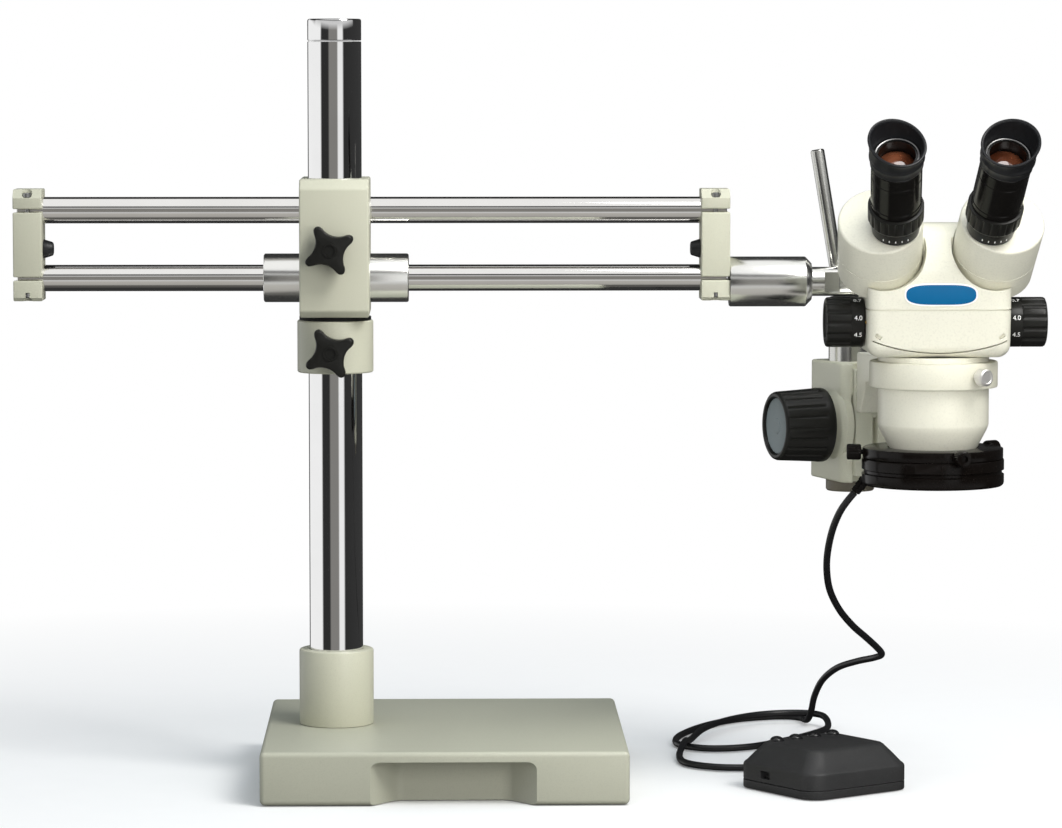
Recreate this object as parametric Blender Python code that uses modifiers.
"""Stereo zoom microscope on a double-arm boom stand, with a ring light and its control box.

World frame: origin at the centre of the base's underside, +X along the boom towards the
microscope, -Y towards the person at the eyepieces, +Z up. Lengths below are millimetres.
"""

import math

import bmesh
import bpy
from mathutils import Matrix, Vector

MM = 0.001
GAP = 0.3

# Stand
BASE_SIDE = 254.0
BASE_HEIGHT = 37.0
POST_AT = Vector((-77.0, 8.0, 0.0))
POST_RADIUS = 19.05
POST_TOP = 539.0
CAP_HEIGHT = 15.3
SOCKET_RADIUS = 26.5
SOCKET_TOP = 91.0
COLLAR_RADIUS = 27.0
COLLAR_LOW, COLLAR_HIGH = 289.0, 326.0
KNOB_RADIUS = 19.0
KNOB_TURN = math.radians(-30)

# Carriage and boom
CARRIAGE_HALF_WIDTH = 24.5
CARRIAGE_LOW, CARRIAGE_HIGH = 329.0, 426.5
CARRIAGE_FRONT, CARRIAGE_BACK = -24.0, 67.0
CARRIAGE_KNOB_Z, COLLAR_KNOB_Z = 377.0, 304.5
ROD_Y = 47.0
ROD_RADIUS = 9.5
UPPER_ROD_Z, LOWER_ROD_Z = 402.7, 354.0
ROD_LEFT, ROD_RIGHT = -305.5, 203.5
SLEEVE_RADIUS = 17.5
SLEEVE_HALF_LENGTH = 52.0
BLOCK_WIDTH = 20.5
BLOCK_HALF_DEPTH = 15.5
BLOCK_LOW, BLOCK_HIGH = 338.0, 418.0
LEFT_BLOCK_X, RIGHT_BLOCK_X = -307.5, 185.0
SLIT = 2.5
BUMPER_Z = 375.0
HOUSING_RADIUS = 18.0
HOUSING_Z = 351.0
HOUSING_LEFT, HOUSING_RIGHT = 205.8, 265.0
SHAFT_RADIUS = 10.5
SHAFT_RIGHT = 306.0

# Drop post and focusing mount, in a frame turned about the drop post
LEVER_X = 286.0
DROP_AT = Vector((294.0, 47.0, 0.0))
DROP_RADIUS = 16.0
DROP_LOW, DROP_HIGH = 200.0, 340.0
MOUNT_TURN = math.radians(18)
BLOCK_REACH = 40.0
MOUNT_LOW, MOUNT_HIGH = 209.0, 294.0
PINION_OUT, PINION_Z = 23.0, 250.0
PINION_RADIUS = 5.5
FOCUS_KNOB_RADIUS = 26.5
AXIS_OUT = 142.5

# Microscope head, about its optical axis
RING_RADIUS = 44.25
RING_LOW, RING_HIGH = 285.0, 303.0
BARREL_RADIUS = 38.25
HEAD_LOW = 307.0
HEAD_HALF_WIDTH = 49.0
TILT = math.radians(42)
DRUM_RADIUS = 29.0
DRUM_LENGTH = 50.0
DRUM_TOP = Vector((41.6, -41.5, 401.0))
SHOULDER_AT = Vector((38.0, 382.5))
EYE_BASE = Vector((32.0, -47.5, 394.6))
EYE_SPREAD = math.radians(5.5)
EYE_TILT = math.radians(44.6)
ZOOM_Y, ZOOM_Z = -6.5, 330.0
ZOOM_RADIUS = 17.2

# Ring light, its cord and its control box
LIGHT_RADIUS = 49.15
LIGHT_LOW, LIGHT_HIGH = 217.0, 235.5
CLAMP_HIGH = 243.0
SCREW_ANGLES = (176.0, 285.0, 35.0)
BOX_AT = Vector((266.6, -57.2, 0.0))
BOX_TURN = math.radians(35)
BOX_LONG, BOX_DEEP = 92.0, 84.0
BOX_WALL, BOX_TOP = 19.0, 33.0
CORD_RADIUS = 2.5
HANGING_ROUTE = (
    (284.9, -79.35, 210.5), (280.2, -77.8, 204.6), (275.2, -71.5, 195.5), (271.2, -59.0, 181.0),
    (269.7, -41.0, 162.5), (271.0, -26.0, 147.0), (275.0, -10.0, 132.5), (283.5, 9.0, 117.0),
    (295.0, 30.0, 103.0), (307.0, 51.0, 91.5), (317.5, 75.0, 80.8), (323.4, 100.0, 72.6),
    (320.5, 124.0, 66.8), (309.5, 147.0, 60.8), (297.0, 168.0, 53.0), (287.8, 188.0, 41.0),
    (283.2, 204.0, 26.5), (281.9, 215.0, 14.2), (280.9, 224.0, 7.0), (279.8, 232.0, 3.7),
    (278.6, 240.0, 2.8),
)
TABLE_ROUTE = (
    (278.46, 240.9, 2.71), (277.0, 248.0, 2.6), (269.0, 255.5, 2.6), (252.0, 255.0, 2.6),
    (226.0, 242.0, 2.6),
    (203.0, 216.0, 2.6), (184.0, 180.0, 2.6), (174.0, 146.0, 2.6), (176.0, 118.0, 2.6),
    (196.0, 101.0, 2.6), (226.0, 108.0, 2.6), (256.0, 138.0, 2.6), (280.0, 172.0, 2.6),
    (293.0, 200.0, 3.0), (292.0, 222.0, 7.9), (280.0, 236.0, 8.3), (258.0, 238.0, 8.0),
    (236.0, 226.0, 8.0), (214.0, 200.0, 8.0), (196.0, 168.0, 7.0), (184.0, 134.0, 4.0),
    (178.0, 100.0, 8.0), (172.0, 66.0, 2.8), (176.0, 34.0, 2.6), (196.0, 16.0, 2.6),
    (220.0, 13.0, 2.6), (236.0, 3.5, 4.2), (244.6, -8.4, 7.6), (250.2, -16.4, 8.1),
)

FINISHES = {  # colour, roughness, metallic
    "putty_paint": ((0.57, 0.56, 0.47), 0.42, 0.0),
    "cream_paint": ((0.72, 0.70, 0.60), 0.38, 0.0),
    "chrome": ((0.80, 0.80, 0.82), 0.08, 1.0),
    "satin_steel": ((0.62, 0.60, 0.57), 0.28, 1.0),
    "black_plastic": ((0.02, 0.02, 0.02), 0.42, 0.0),
    "black_rubber": ((0.012, 0.012, 0.012), 0.65, 0.0),
    "gloss_black": ((0.015, 0.012, 0.010), 0.15, 0.0),
    "glass": ((0.30, 0.14, 0.09), 0.04, 0.0),
    "screw_steel": ((0.35, 0.35, 0.36), 0.30, 1.0),
    "cord_jacket": ((0.012, 0.012, 0.013), 0.50, 0.0),
}


def start_clean():
    for obj in list(bpy.data.objects):
        bpy.data.objects.remove(obj)


def make_collection(name):
    group = bpy.data.collections.new(name)
    bpy.context.scene.collection.children.link(group)
    return group


start_clean()
PARTS = make_collection("stereo_microscope")
CUTTERS = make_collection("cutters")


def place_along(origin, direction, up=Vector((0, 0, 1))):
    """Matrix whose local Z is the direction, at an origin in millimetres."""
    z = Vector(direction).normalized()
    helper = Vector((1, 0, 0)) if abs(z.dot(up)) > 0.99 else up
    x = helper.cross(z).normalized()
    y = z.cross(x)
    turn = Matrix((x, y, z)).transposed().to_4x4()
    return Matrix.Translation(Vector(origin) * MM) @ turn


def paint(obj, finish):
    colour, roughness, metallic = FINISHES[finish]
    material = bpy.data.materials.new(obj.name + "_" + finish)
    material.use_nodes = True
    shader = material.node_tree.nodes["Principled BSDF"]
    shader.inputs["Base Color"].default_value = (*colour, 1.0)
    shader.inputs["Roughness"].default_value = roughness
    shader.inputs["Metallic"].default_value = metallic
    obj.data.materials.append(material)


def link(name, mesh, finish, place=Matrix()):
    """A named part, or a cutter where the finish is None."""
    obj = bpy.data.objects.new(name, mesh)
    obj.matrix_world = place
    if finish:
        PARTS.objects.link(obj)
        paint(obj, finish)
    else:
        CUTTERS.objects.link(obj)
        obj.hide_render = True
        obj.display_type = "WIRE"
    return obj


def mesh_from(bm, name):
    mesh = bpy.data.meshes.new(name)
    bm.to_mesh(mesh)
    bm.free()
    return mesh


def box(name, low, high, finish=None, place=Matrix()):
    bm = bmesh.new()
    low, high = Vector(low) * MM, Vector(high) * MM
    size, middle = high - low, (low + high) / 2
    bmesh.ops.create_cube(bm, size=1.0, matrix=Matrix.Translation(middle) @ Matrix.Diagonal((*size, 1)))
    return link(name, mesh_from(bm, name), finish, place)


def rod(name, radius, low, high, finish=None, place=Matrix(), sides=20, end_radius=None):
    """A cylinder or cone along the local Z axis."""
    bm = bmesh.new()
    middle = Matrix.Translation((0, 0, (low + high) / 2 * MM))
    top = radius if end_radius is None else end_radius
    bmesh.ops.create_cone(bm, cap_ends=True, segments=sides, radius1=radius * MM, radius2=top * MM,
                          depth=(high - low) * MM, matrix=middle)
    obj = link(name, mesh_from(bm, name), finish, place)
    smooth(obj)
    return obj


def turned(name, profile, finish=None, place=Matrix(), sides=24):
    """A Screw of (radius, height) points, listed down the outer side from the top."""
    bm = bmesh.new()
    points = [bm.verts.new((radius * MM, 0, height * MM)) for radius, height in profile]
    for first, second in zip(points, points[1:]):
        bm.edges.new((first, second))
    if profile[0][0] > 0:
        bm.edges.new((points[-1], points[0]))
    obj = link(name, mesh_from(bm, name), finish, place)
    screw = obj.modifiers.new("turn", "SCREW")
    screw.angle = 2 * math.pi
    screw.steps = screw.render_steps = sides
    screw.use_merge_vertices = True
    screw.merge_threshold = 0.00001
    screw.use_smooth_shade = True
    return obj


def plate(name, outline, low, high, finish=None, place=Matrix()):
    """An outline of (x, y) points extruded along the local Z axis."""
    bm = bmesh.new()
    face = bm.faces.new([bm.verts.new((x * MM, y * MM, low * MM)) for x, y in outline])
    grown = bmesh.ops.extrude_face_region(bm, geom=[face])
    top = [item for item in grown["geom"] if isinstance(item, bmesh.types.BMVert)]
    bmesh.ops.translate(bm, verts=top, vec=(0, 0, (high - low) * MM))
    bmesh.ops.recalc_face_normals(bm, faces=bm.faces)
    return link(name, mesh_from(bm, name), finish, place)


def loft(name, levels, finish=None, place=Matrix()):
    """A closed skin through outlines that have the same number of points, lowest first."""
    bm = bmesh.new()
    rings = [[bm.verts.new((x * MM, y * MM, height * MM)) for x, y in outline] for outline,
             height in levels]
    for lower, upper in zip(rings, rings[1:]):
        for index, corner in enumerate(lower):
            bm.faces.new((lower[index - 1], corner, upper[index], upper[index - 1]))
    bm.faces.new(reversed(rings[0]))
    bm.faces.new(rings[-1])
    obj = link(name, mesh_from(bm, name), finish, place)
    smooth(obj)
    return obj


def smooth(obj, angle=35):
    obj.data.shade_smooth()
    obj.data.set_sharp_from_angle(angle=math.radians(angle))


def bevel(obj, width, segments=2, angle=40):
    modifier = obj.modifiers.new("edges", "BEVEL")
    modifier.width = width * MM
    modifier.segments = segments
    modifier.limit_method = "ANGLE"
    modifier.angle_limit = math.radians(angle)
    return obj


def cut(obj, *tools, operation="DIFFERENCE"):
    for tool in tools:
        modifier = obj.modifiers.new(tool.name, "BOOLEAN")
        modifier.operation = operation
        modifier.object = tool
    return obj


def join(obj, *tools):
    return cut(obj, *tools, operation="UNION")


def rounded_outline(half_x, half_y, radius, steps=6):
    """Points around a rectangle with round corners, counter-clockwise."""
    points = []
    for corner, (sx, sy) in enumerate(((1, 1), (-1, 1), (-1, -1), (1, -1))):
        for step in range(steps + 1):
            angle = math.pi / 2 * (corner + step / steps)
            points.append((sx * (half_x - radius) + radius * math.cos(angle),
                           sy * (half_y - radius) + radius * math.sin(angle)))
    return points


def star_outline(radius, turn, points=32):
    """Four round lobes with hollow sides between them."""
    waist = radius * 0.50
    outline = []
    for step in range(points):
        angle = 2 * math.pi * step / points
        reach = waist + (radius - waist) * abs(math.cos(2 * (angle - turn))) ** 2.6
        outline.append((reach * math.cos(angle), reach * math.sin(angle)))
    return outline


# Stand ---------------------------------------------------------------------------------

def make_base():
    half = BASE_SIDE / 2
    base = box("base_plate", (-half, -half, 0), (half, half, BASE_HEIGHT), "putty_paint")
    bevel(base, 3.5, 2)
    width_front, width_back, depth, top = 62.0, 38.0, 24.0, BASE_HEIGHT - 7.0
    outline = ((-width_front, -half - 6), (width_front, -half - 6),
               (width_back, -half + depth), (-width_back, -half + depth))
    recess = plate("base_recess", outline, -6, top, None, Matrix.Translation((6 * MM, 0, 0)))
    bevel(recess, 5, 3)
    cut(base, recess)


def make_post():
    place = Matrix.Translation(POST_AT * MM)
    bore = rod("socket_bore", POST_RADIUS + GAP, BASE_HEIGHT - 1, SOCKET_TOP + 1, None, place, 24)
    profile = ((0, SOCKET_TOP), (SOCKET_RADIUS - 1.2, SOCKET_TOP), (SOCKET_RADIUS, SOCKET_TOP - 1.2),
               (SOCKET_RADIUS, BASE_HEIGHT + GAP), (0, BASE_HEIGHT + GAP))
    cut(turned("post_socket", profile, "putty_paint", place, 24), bore)
    neck, seam = 12.0, POST_TOP - CAP_HEIGHT
    profile = ((0, seam - 16), (neck + GAP, seam - 16), (neck + GAP, seam - GAP),
               (POST_RADIUS, seam - GAP),
               (POST_RADIUS, BASE_HEIGHT + GAP), (0, BASE_HEIGHT + GAP))
    turned("post", profile, "chrome", place, 24)
    profile = ((0, POST_TOP), (POST_RADIUS - 1.2, POST_TOP), (POST_RADIUS, POST_TOP - 1.2),
               (POST_RADIUS, seam),
               (neck, seam), (neck, seam - 15), (0, seam - 15))
    turned("post_cap", profile, "chrome", place, 24)


def make_star_knob(name, height, front, stem_end):
    """A four-lobed clamp knob whose stem points along +Y."""
    place = Matrix.Translation((POST_AT + Vector((-3.0, front, height))) * MM)
    place = place @ Matrix.Rotation(-math.pi / 2, 4, "X")
    knob = plate(name, star_outline(KNOB_RADIUS, KNOB_TURN), -17.5, -5.0, "black_plastic", place)
    bevel(knob, 1.6, 1, 50)
    dish = rod(name + "_dish", 5.5, -20, -16.3, None, place, 16)
    hub = rod(name + "_hub", 8.5, -6, -0.8, None, place, 16)
    stem = rod(name + "_stem", 4.0, -2, stem_end, None, place, 16)
    join(knob, hub, stem)
    cut(knob, dish)


def make_collar():
    place = Matrix.Translation(POST_AT * MM)
    profile = ((COLLAR_RADIUS - 1.0, COLLAR_HIGH), (COLLAR_RADIUS, COLLAR_HIGH - 1.0),
               (COLLAR_RADIUS, COLLAR_LOW + 1.0), (COLLAR_RADIUS - 1.0, COLLAR_LOW),
               (POST_RADIUS + GAP, COLLAR_LOW), (POST_RADIUS + GAP, COLLAR_HIGH))
    collar = turned("stop_collar", profile, "putty_paint", place, 24)
    across = Matrix.Translation((POST_AT + Vector((-3.0, 0, COLLAR_KNOB_Z))) * MM)
    across = across @ Matrix.Rotation(math.pi / 2, 4, "X")
    cut(collar, rod("collar_hole", 4.4, 10, 40, None, across, 16))
    make_star_knob("collar_knob", COLLAR_KNOB_Z, -COLLAR_RADIUS, COLLAR_RADIUS - POST_RADIUS - 0.1)


# Carriage and boom ---------------------------------------------------------------------

def make_carriage():
    front, back = CARRIAGE_FRONT, CARRIAGE_BACK
    low, high = CARRIAGE_LOW, CARRIAGE_HIGH
    side = ((front, low + 4.6), (front + 4.6, low), (back - 3, low), (back, low + 3),
            (back, high - 5), (back - 5, high), (front + 7, high), (front, high - 7))
    turn = Matrix(((0, 0, 1, 0), (1, 0, 0, 0), (0, 1, 0, 0), (0, 0, 0, 1)))
    place = Matrix.Translation((POST_AT.x * MM, 0, 0)) @ turn
    half = CARRIAGE_HALF_WIDTH
    block = plate("carriage_block", side, -half, half, "putty_paint", place)
    bevel(block, 1.5, 2, 30)
    post_bore = rod("carriage_post_bore", POST_RADIUS + GAP, low - 2, high + 2, None,
                    Matrix.Translation(POST_AT * MM), 24)
    tools = [post_bore]
    for name, radius, height in (("upper", ROD_RADIUS, UPPER_ROD_Z),
                                 ("lower", SLEEVE_RADIUS, LOWER_ROD_Z)):
        along = place_along((POST_AT.x, ROD_Y, height), (1, 0, 0))
        tools.append(rod(name + "_bearing_bore", radius + GAP, -half - 2, half + 2, None, along, 40))
    across = Matrix.Translation((POST_AT + Vector((-3.0, 0, CARRIAGE_KNOB_Z))) * MM)
    tools.append(rod("carriage_hole", 4.4, 10, 60, None, across @ Matrix.Rotation(math.pi / 2, 4, "X"),
                     16))
    cut(block, *tools)
    reach = POST_AT.y - CARRIAGE_FRONT
    make_star_knob("carriage_knob", CARRIAGE_KNOB_Z, -reach, reach - POST_RADIUS - 0.1)
    radius, bore, length = SLEEVE_RADIUS, ROD_RADIUS + GAP, SLEEVE_HALF_LENGTH
    profile = ((radius - 0.8, length), (radius, length - 0.8), (radius, 0.8 - length),
               (radius - 0.8, -length),
               (bore, -length), (bore, length))
    turned("bearing_sleeve", profile, "satin_steel", place_along((POST_AT.x, ROD_Y, LOWER_ROD_Z), (1, 0,
                                                                                                   0)),
           20)


def make_rods():
    for name, height in (("upper_rod", UPPER_ROD_Z), ("lower_rod", LOWER_ROD_Z)):
        along = place_along((0, ROD_Y, height), (1, 0, 0))
        profile = ((0, ROD_RIGHT), (ROD_RADIUS - 1, ROD_RIGHT), (ROD_RADIUS, ROD_RIGHT - 1),
                   (ROD_RADIUS, ROD_LEFT + 1), (ROD_RADIUS - 1, ROD_LEFT), (0, ROD_LEFT))
        turned(name, profile, "chrome", along, 32)


def make_end_block(side, left):
    """Three stacked clamp pieces that grip both rods."""
    right = left + BLOCK_WIDTH
    near, far = ROD_Y - BLOCK_HALF_DEPTH, ROD_Y + BLOCK_HALF_DEPTH
    half_slit = SLIT / 2
    levels = (("lower_clamp", BLOCK_LOW, LOWER_ROD_Z - half_slit), ("end_block", LOWER_ROD_Z + half_slit,
              UPPER_ROD_Z - half_slit), ("upper_clamp", UPPER_ROD_Z + half_slit, BLOCK_HIGH))
    grips = [rod(side + grip, ROD_RADIUS + GAP, left - 2, right + 2, None,
                 place_along((0, ROD_Y, height), (1, 0, 0)), 24)
             for grip, height in (("_upper_grip", UPPER_ROD_Z), ("_lower_grip", LOWER_ROD_Z))]
    screw_at = Vector((left + BLOCK_WIDTH / 2, near + 3.3, 0))
    shank = rod(side + "_screw_hole", 1.9, BLOCK_HIGH - 42, BLOCK_HIGH + 2, None,
                Matrix.Translation(screw_at * MM), 12)
    sink = rod(side + "_counterbore", 3.6, BLOCK_HIGH - 6, BLOCK_HIGH + 2, None,
               Matrix.Translation(screw_at * MM), 16)
    for name, low, high in levels:
        piece = box(f"{side}_{name}", (left, near, low), (right, far, high), "putty_paint")
        bevel(piece, 1.0, 1)
        if name == "upper_clamp":
            cut(piece, box(side + "_top_chamfer", (left - 2, -4.5, -4.5), (right + 2, 4.5, 4.5), None,
                           Matrix.Translation((0, near * MM, high * MM)) @ Matrix.Rotation(math.pi / 4, 4,
                                                                                           "X")))
            cut(piece, shank, sink)
        if name == "end_block":
            cut(piece, shank)
        cut(piece, *grips)
    profile = ((0, BLOCK_HIGH - 2.6), (3.2, BLOCK_HIGH - 2.6), (3.2, BLOCK_HIGH - 5.6),
               (1.6, BLOCK_HIGH - 5.6),
               (1.6, BLOCK_HIGH - 40), (0, BLOCK_HIGH - 40))
    turned(side + "_clamp_screw", profile, "screw_steel", Matrix.Translation(screw_at * MM), 16)


def make_bumpers():
    for side, face, way in (("left", LEFT_BLOCK_X + BLOCK_WIDTH, 1), ("right", RIGHT_BLOCK_X, -1)):
        place = place_along((face + way * GAP, ROD_Y, BUMPER_Z), (way, 0, 0))
        profile = ((0, 7), (4.4, 7), (5.2, 6.2), (6.7, 0), (0, 0))
        turned(side + "_bumper", profile, "black_rubber", place, 16)


def make_boom_end():
    place = place_along((0, ROD_Y, HOUSING_Z), (1, 0, 0))
    right, left = HOUSING_RIGHT, HOUSING_LEFT
    profile = ((SHAFT_RADIUS + GAP, right), (HOUSING_RADIUS - 4.5, right), (HOUSING_RADIUS, right - 4.5),
               (HOUSING_RADIUS, left + 0.8), (HOUSING_RADIUS - 0.8, left), (0, left), (0, right - 42),
               (SHAFT_RADIUS + GAP, right - 42))
    profile = profile[-2:] + profile[:-2]
    turned("boom_end_housing", profile, "satin_steel", place, 24)


def make_swivel():
    place = place_along((0, ROD_Y, HOUSING_Z), (1, 0, 0))
    left, right = HOUSING_RIGHT - 41, SHAFT_RIGHT
    profile = ((0, right), (SHAFT_RADIUS - 1.5, right), (SHAFT_RADIUS, right - 1.5), (SHAFT_RADIUS, left),
               (0, left))
    shaft = turned("swivel_shaft", profile, "satin_steel", place, 24)
    down = Matrix.Translation(DROP_AT * MM)
    spigot_bore = rod("spigot_bore", 6.3, DROP_HIGH - 5, HOUSING_Z + 6.3, None, down, 16)
    across = place_along((LEVER_X, ROD_Y, HOUSING_Z), (0, 1, 0))
    slot = box("shaft_slot", (274, ROD_Y - 14, HOUSING_Z - 14), (285, ROD_Y - 7.5, HOUSING_Z + 14))
    flat = box("lever_flat", (LEVER_X - 9, ROD_Y + 8.2, HOUSING_Z - 14),
               (LEVER_X + 9, ROD_Y + 14, HOUSING_Z + 14))
    cut(shaft, slot, flat, rod("lever_hole", 3.4, 6.6, 12, None, across, 16), spigot_bore)
    lean = Matrix.Rotation(math.radians(-9.5), 4, "Y")
    pivot = Matrix.Translation(Vector((LEVER_X, ROD_Y + 13.8, HOUSING_Z)) * MM)
    lever = rod("lock_lever", 5.0, 0, 96, "satin_steel", pivot @ lean, 24)
    bevel(lever, 1.0, 2)
    pin_place = place_along((LEVER_X, ROD_Y, HOUSING_Z), (0, 1, 0))
    join(lever, rod("lever_boss", 8.0, 8.6, 19, None, pin_place, 16),
         rod("lever_pin", 3.0, 7.0, 10, None, pin_place, 16))
    profile = ((0, HOUSING_Z + 6), (6, HOUSING_Z + 6), (6, DROP_HIGH), (DROP_RADIUS - 1, DROP_HIGH),
               (DROP_RADIUS, DROP_HIGH - 1), (DROP_RADIUS, DROP_LOW + 8.4), (8, DROP_LOW + 8.4),
               (8, DROP_LOW + 2), (0, DROP_LOW + 2))
    turned("drop_post", profile, "satin_steel", down, 24)
    profile = ((DROP_RADIUS + 1.5, DROP_LOW + 8.1), (DROP_RADIUS + 1.5, DROP_LOW + 1),
               (DROP_RADIUS + 0.5, DROP_LOW),
               (8.4, DROP_LOW), (8.4, DROP_LOW + 8.1))
    turned("post_end_ring", profile, "putty_paint", down, 24)


# Focusing mount ------------------------------------------------------------------------

def mount_frame():
    """Local X points from the drop post to the optical axis, local Y to its right."""
    sine, cosine = math.sin(MOUNT_TURN), math.cos(MOUNT_TURN)
    rows = ((sine, cosine, 0, DROP_AT.x * MM), (-cosine, sine, 0, DROP_AT.y * MM), (0, 0, 1, 0),
            (0, 0, 0, 1))
    return Matrix(rows)


def make_focus_block():
    frame = mount_frame()
    outline = rounded_outline(32, 23, 8)
    block = plate("focus_block", [(x + 8, y) for x, y in outline], MOUNT_LOW, MOUNT_HIGH, "putty_paint",
                  frame)
    bevel(block, 1.5, 2, 50)
    across = frame @ place_along((PINION_OUT - 3, 0, PINION_Z), (0, 1, 0))
    bosses = rod("knob_bosses", 20.0, -30.5, 30.5, None, across, 24)
    bore = rod("drop_bore", DROP_RADIUS + GAP, MOUNT_LOW - 2, MOUNT_HIGH + 2, None, frame, 24)
    groove = box("slide_groove", (PINION_OUT + PINION_RADIUS + GAP, -15.3, MOUNT_LOW - 5),
                 (BLOCK_REACH + 20, 15.3, MOUNT_HIGH + 5), None, frame)
    arch = rod("front_arch", 34, -16.8, 16.8, None,
               frame @ place_along((BLOCK_REACH + 25, 0, PINION_Z), (0, 1, 0)), 24)
    axle = rod("pinion_bore", PINION_RADIUS + 0.5, -40, 40, None,
               frame @ place_along((PINION_OUT, 0, PINION_Z), (0, 1, 0)), 16)
    join(block, bosses)
    cut(block, bore, groove, arch, axle)


def make_focus_knobs():
    frame = mount_frame()
    near, far = 31.2, 69.0
    for side, way in (("left", -1), ("right", 1)):
        place = frame @ place_along((PINION_OUT, 0, PINION_Z), (0, way, 0))
        if side == "left":
            profile = ((0, far - 2.5), (20, far - 2.5), (20.5, far), (22.8, far), (24.5, far - 2),
                       (FOCUS_KNOB_RADIUS, near + 4),
                       (FOCUS_KNOB_RADIUS - 2, near), (4.3, near), (4.3, near + 14), (0, near + 14))
            turned("focus_knob_left", profile, "black_plastic", place, 24)
        else:
            profile = ((0, far - 2.5), (20, far - 2.5), (20.5, far), (22.8, far), (24.5, far - 2),
                       (FOCUS_KNOB_RADIUS, near + 4),
                       (FOCUS_KNOB_RADIUS - 2, near), (4.0, near), (4.0, 9), (PINION_RADIUS, 9),
                       (PINION_RADIUS, -9),
                       (4.0, -9), (4.0, -near - 13), (0, -near - 13))
            turned("focus_knob_right", profile, "black_plastic", place, 24)


def make_focus_slide():
    frame = mount_frame()
    back = PINION_OUT + PINION_RADIUS + 2 * GAP
    slide = box("focus_slide", (back, -15, 214), (BLOCK_REACH + 4, 15, 290), "putty_paint", frame)
    bevel(slide, 0.8, 1)
    slot = box("slide_slot", (BLOCK_REACH, -2, 214 - 5), (BLOCK_REACH + 8, 2, 256), None, frame)
    cut(slide, slot)


def make_ring_holder():
    frame = mount_frame()
    foot = BLOCK_REACH + 4 + GAP
    side = ((foot, RING_HIGH - 43), (foot + 7, RING_HIGH - 43), (foot + 16, RING_LOW - 3),
            (AXIS_OUT - RING_RADIUS + 4, RING_LOW), (AXIS_OUT - RING_RADIUS + 4, RING_HIGH),
            (foot, RING_HIGH))
    turn = Matrix(((1, 0, 0, 0), (0, 0, -1, 0), (0, 1, 0, 0), (0, 0, 0, 1)))
    arm = plate("holder_arm", side, -15, 15, None, frame @ turn)
    bevel(arm, 1.5, 2, 30)
    axis = frame @ Matrix.Translation((AXIS_OUT * MM, 0, 0))
    profile = ((0, RING_HIGH), (RING_RADIUS - 1.2, RING_HIGH), (RING_RADIUS, RING_HIGH - 1.2),
               (RING_RADIUS, RING_LOW + 1.2),
               (RING_RADIUS - 1.2, RING_LOW), (0, RING_LOW))
    ring = turned("ring_holder", profile, "cream_paint", axis, 24)
    join(ring, arm)
    well = rod("holder_bore", BARREL_RADIUS + 0.4, RING_LOW - 5, RING_HIGH + 5, None, axis, 24)
    middle = (RING_LOW + RING_HIGH) / 2
    out = Vector((math.sin(math.radians(35)), -math.cos(math.radians(35)), 0))
    radial = place_along(optical_axis() + Vector((0, 0, middle)), out)
    cut(ring, well, rod("thumb_hole", 2.9, 30, 60, None, radial, 12))
    profile = ((0, RING_RADIUS + 11), (4.8, RING_RADIUS + 11), (6, RING_RADIUS + 9.8),
               (6, RING_RADIUS + 4),
               (5, RING_RADIUS + 3), (2.5, RING_RADIUS + 3), (2.5, BARREL_RADIUS + 0.6),
               (0, BARREL_RADIUS + 0.6))
    turned("ring_thumb_screw", profile, "satin_steel", radial, 12)


# Microscope head -----------------------------------------------------------------------

def optical_axis():
    """The point below the objective, in millimetres."""
    return (mount_frame() @ Vector((AXIS_OUT * MM, 0, 0))) / MM


def head_point(offset):
    return optical_axis() + Vector(offset)


def make_barrel():
    place = Matrix.Translation(optical_axis() * MM)
    top = HEAD_LOW - GAP
    profile = ((34, top), (BARREL_RADIUS, top), (BARREL_RADIUS, 259), (BARREL_RADIUS - 1.2, 255),
               (30.5, 243.5),
               (28.5, 241.5), (28.5, 232.6), (27.9, 232), (23.5, 232), (23.5, 241), (22.3, 241),
               (22.3, 250), (34, 262))
    turned("head_lower_housing", profile, "cream_paint", place, 24)
    profile = ((0, 248.5), (22, 247.2), (22, 241.6), (12, 240.4), (0, 240))
    turned("objective_lens", profile, "glass", place, 24)


def drum_place(side):
    """Local Z runs up the prism housing's axis, from its bottom face."""
    flat = math.cos(TILT)
    way = Vector((side * math.tan(EYE_SPREAD) * flat, -flat, math.sin(TILT))).normalized()
    top = head_point((side * DRUM_TOP.x, DRUM_TOP.y, DRUM_TOP.z))
    return place_along(top - way * DRUM_LENGTH, way)


def make_head_body():
    half = HEAD_HALF_WIDTH
    side = ((-37.5, HEAD_LOW), (-41.5, 340), (-43.0, 362), (-12.0, 398), (22.0, 398), (36.0, 386),
            (40.0, 340), (38.0, HEAD_LOW))
    turn = Matrix(((0, 0, 1, 0), (1, 0, 0, 0), (0, 1, 0, 0), (0, 0, 0, 1)))
    place = Matrix.Translation(optical_axis() * MM) @ turn
    body = plate("head_body", side, -half, half, "cream_paint", place)
    bevel(body, 9, 3, 30)
    pockets = [rod(f"drum_pocket_{name}", DRUM_RADIUS + 0.5, -0.5, DRUM_LENGTH + 40, None,
                   drum_place(way), 24)
               for name, way in (("left", -1), ("right", 1))]
    axle = rod("zoom_bore", 4.4, -60, 60, None, place_along(head_point((0, ZOOM_Y, ZOOM_Z)), (1, 0, 0)),
               16)
    notches = [rod(f"shoulder_notch_{name}", DRUM_RADIUS + 0.5, 20, 60, None,
                   place_along(head_point((side * SHOULDER_AT.x, 0, SHOULDER_AT.y)), (0, -1, 0)), 24)
               for name, side in (("left", -1), ("right", 1))]
    cut(body, *pockets, *notches, axle)
    cut(body, rod("light_path", 32, HEAD_LOW - 5, 318, None, Matrix.Translation(optical_axis() * MM), 24))


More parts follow.
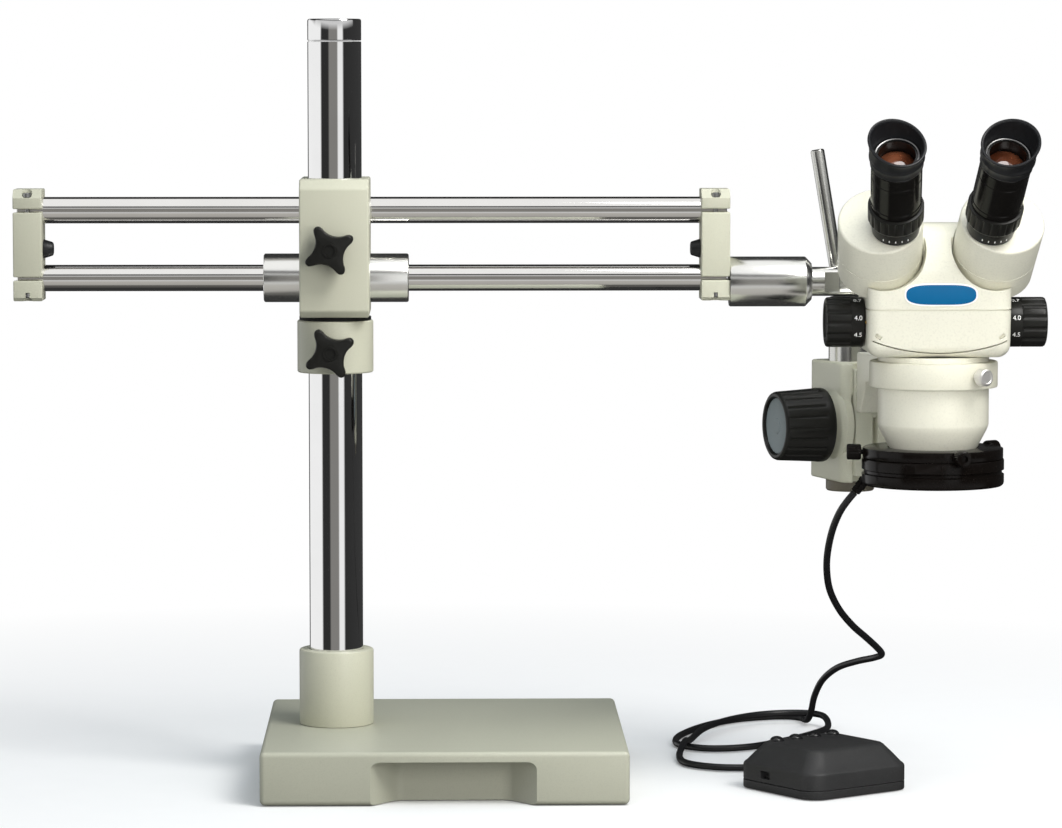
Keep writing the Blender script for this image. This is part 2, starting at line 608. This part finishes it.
def make_zoom_knobs():
    radius, inner, outer = ZOOM_RADIUS, HEAD_HALF_WIDTH + 0.6, 76.0
    rim = ((0, outer - 1), (11, outer - 1), (11.6, outer), (radius - 1.4, outer), (radius, outer - 1.4),
           (radius, inner + 0.6),
           (radius - 0.6, inner))
    for name, way, end in (("left", -1, ((4.0, inner), (4.0, -60.5), (0, -60.5))),
                           ("right", 1, ((4.3, inner), (4.3, inner + 13), (0, inner + 13)))):
        place = place_along(head_point((0, ZOOM_Y, ZOOM_Z)), (way, 0, 0))
        turned("zoom_knob_" + name, rim + end, "black_plastic", place, 24)


def eye_place(side):
    """Local Z runs up the eyepiece from the top of its prism housing."""
    flat = math.cos(EYE_TILT)
    way = Vector((side * math.tan(EYE_SPREAD) * flat, -flat, math.sin(EYE_TILT)))
    return place_along(head_point((side * EYE_BASE.x, EYE_BASE.y, EYE_BASE.z)), way)


def make_eyepieces():
    for name, side in (("left", -1), ("right", 1)):
        drum = turned("prism_housing_" + name, ((0, DRUM_LENGTH), (DRUM_RADIUS - 1.6, DRUM_LENGTH),
                      (DRUM_RADIUS, DRUM_LENGTH - 1.6), (DRUM_RADIUS, 0.3), (0, 0.3)),
                      "cream_paint", drum_place(side), 36)
        place = eye_place(side)
        cut(drum, rod(name + "_eye_socket", 13.8, -14, 10, None, place, 24))
        turned("eyepiece_tube_" + name, (
            (12.6, 74), (15.5, 74), (15.5, 66), (17.2, 66), (17.2, 27), (13.4, 27), (13.4, -12),
            (11, -12),
            (11, 52), (12.6, 52)), "black_plastic", place, 24)
        turned("diopter_ring_" + name, (
            (18.3, 26.6), (19.0, 25.8), (19.0, 14), (17.2, 12), (16.2, 2.4), (15.6, 1.8), (13.9, 1.8),
            (13.9, 26.6)), "black_plastic", place, 24)
        turned("eye_lens_" + name, ((0, 68.6), (6, 67.8), (12.2, 65), (12.2, 60), (0, 60)), "glass",
               place, 24)
        cup = turned("eyecup_" + name, (
            (19.0, 92), (19.75, 90), (18.6, 78), (17.9, 66.4), (15.9, 66.4), (15.9, 74.4), (16.6, 76),
            (17.2, 84), (18.2, 92)),
            "black_rubber", place, 24)
        slope = place @ Matrix.Translation((0, 0, 86.5 * MM)) @ place_along((0, 0, 0),
                                                                            (-side * 0.22, -0.12, 1))
        cut(cup, rod(name + "_cup_slope", 40, 0, 40, None, slope, 16))


# Ring light ----------------------------------------------------------------------------

def make_ring_light():
    place = Matrix.Translation(optical_axis() * MM)
    body = turned("ring_light_body", (
        (LIGHT_RADIUS - 0.8, LIGHT_HIGH), (LIGHT_RADIUS, LIGHT_HIGH - 0.8), (LIGHT_RADIUS, 228),
        (LIGHT_RADIUS - 1.4, 227.4),
        (LIGHT_RADIUS - 1.4, 225.6), (LIGHT_RADIUS, 225), (LIGHT_RADIUS, 219.5),
        (LIGHT_RADIUS - 1.5, LIGHT_LOW),
        (44, LIGHT_LOW), (44, 220), (34, 220), (34, LIGHT_LOW), (31, LIGHT_LOW), (31, LIGHT_HIGH)),
        "gloss_black", place, 24)
    gland = place_along(head_point((-46, 8, 219.5)), (-0.62, 0.10, -0.78))
    relief = rod("cord_relief", 4.2, 0, 11.0, None, gland, 16, 3.4)
    join(body, relief)
    clamp = turned("light_clamp_ring", (
        (48.5, CLAMP_HIGH), (48.5, LIGHT_HIGH + GAP), (31.2, LIGHT_HIGH + GAP), (31.2, CLAMP_HIGH)),
        "gloss_black", place, 24)
    middle = (CLAMP_HIGH + LIGHT_HIGH + GAP) / 2
    for number, angle in enumerate(SCREW_ANGLES, 1):
        way = (math.cos(math.radians(angle)), math.sin(math.radians(angle)), 0)
        radial = place_along(head_point((0, 0, middle)), way)
        cut(clamp, rod(f"light_screw_hole_{number}", 2.0, 28, 56, None, radial, 12))
        profile = ((0, 58.5), (2.2, 58.5), (2.4, 59.5), (4.9, 59.5), (5.5, 58.8), (5.5, 50.2),
                   (4.9, 49.5), (1.7, 49.5), (1.7, 29.3), (0, 29.3))
        turned(f"light_screw_{number}", profile, "gloss_black", radial, 12)


# Control box and cord ------------------------------------------------------------------

def make_control_box():
    place = Matrix.Translation(BOX_AT * MM) @ Matrix.Rotation(BOX_TURN, 4, "Z")
    base = plate("control_box_base", rounded_outline(BOX_LONG / 2, BOX_DEEP / 2, 14), 0, 6,
                 "black_plastic", place)
    bevel(base, 1.0, 1, 50)
    levels = [(rounded_outline(BOX_LONG / 2 - inset, BOX_DEEP / 2 - inset, radius), height)
              for height, inset, radius in ((6.3, 0, 14), (BOX_WALL - 2, 0, 14), (BOX_WALL, 1.5, 13),
                                            (BOX_TOP - 2.5, 11, 10), (BOX_TOP - 0.6, 13, 9),
                                            (BOX_TOP, 15.5, 8))]
    cover = loft("control_box_cover", levels, "black_plastic", place)
    cut(cover, box("box_jack", (-BOX_LONG / 2 - 4, 4, 9), (-BOX_LONG / 2 + 5, 14, 14.5), None, place))
    for number in range(4):
        across = -25.5 + 17 * number
        spot = place @ Matrix.Translation((across * MM, 21 * MM, 0))
        cut(cover, rod(f"button_hole_{number + 1}", 5.3, BOX_TOP - 6, BOX_TOP + 6, None, spot, 12))
        profile = ((0, BOX_TOP + 3.2), (2.4, BOX_TOP + 2.8), (4.2, BOX_TOP + 1.6), (5.0, BOX_TOP - 0.2),
                   (5.0, BOX_TOP - 4.2),
                   (0, BOX_TOP - 4.2))
        turned(f"control_button_{number + 1}", profile, "gloss_black", spot, 12)


def catmull(points, spacing):
    """Points about the spacing apart on a smooth curve through the route's own points."""
    route = [Vector(point) for point in points]
    route = [2 * route[0] - route[1], *route, 2 * route[-1] - route[-2]]
    curve = []
    for a, b, c, d in zip(route, route[1:], route[2:], route[3:]):
        steps = max(1, round((c - b).length / spacing))
        for step in range(steps):
            t = step / steps
            curve.append(0.5 * (2 * b + (c - a) * t + (2 * a - 5 * b + 4 * c - d) * t**2
                                + (3 * b - a - 3 * c + d) * t**3))
    return [*curve, route[-2]]


def make_cord(name, points):
    curve = bpy.data.curves.new(name, "CURVE")
    curve.dimensions = "3D"
    curve.bevel_depth = CORD_RADIUS * MM
    curve.bevel_resolution = 2
    curve.use_fill_caps = True
    line = catmull(points, 15)
    spline = curve.splines.new("POLY")
    spline.points.add(len(line) - 1)
    for point, place in zip(spline.points, line):
        point.co = (*(place * MM), 1)
    cord = bpy.data.objects.new(name, curve)
    PARTS.objects.link(cord)
    paint(cord, "cord_jacket")


make_base()
make_post()
make_collar()
make_carriage()
make_rods()
make_end_block("left", LEFT_BLOCK_X)
make_end_block("right", RIGHT_BLOCK_X)
make_bumpers()
make_boom_end()
make_swivel()
make_focus_block()
make_focus_knobs()
make_focus_slide()
make_ring_holder()
make_barrel()
make_head_body()
make_zoom_knobs()
make_eyepieces()
make_ring_light()
make_control_box()
make_cord("hanging_cord", HANGING_ROUTE)
make_cord("table_cord", TABLE_ROUTE)
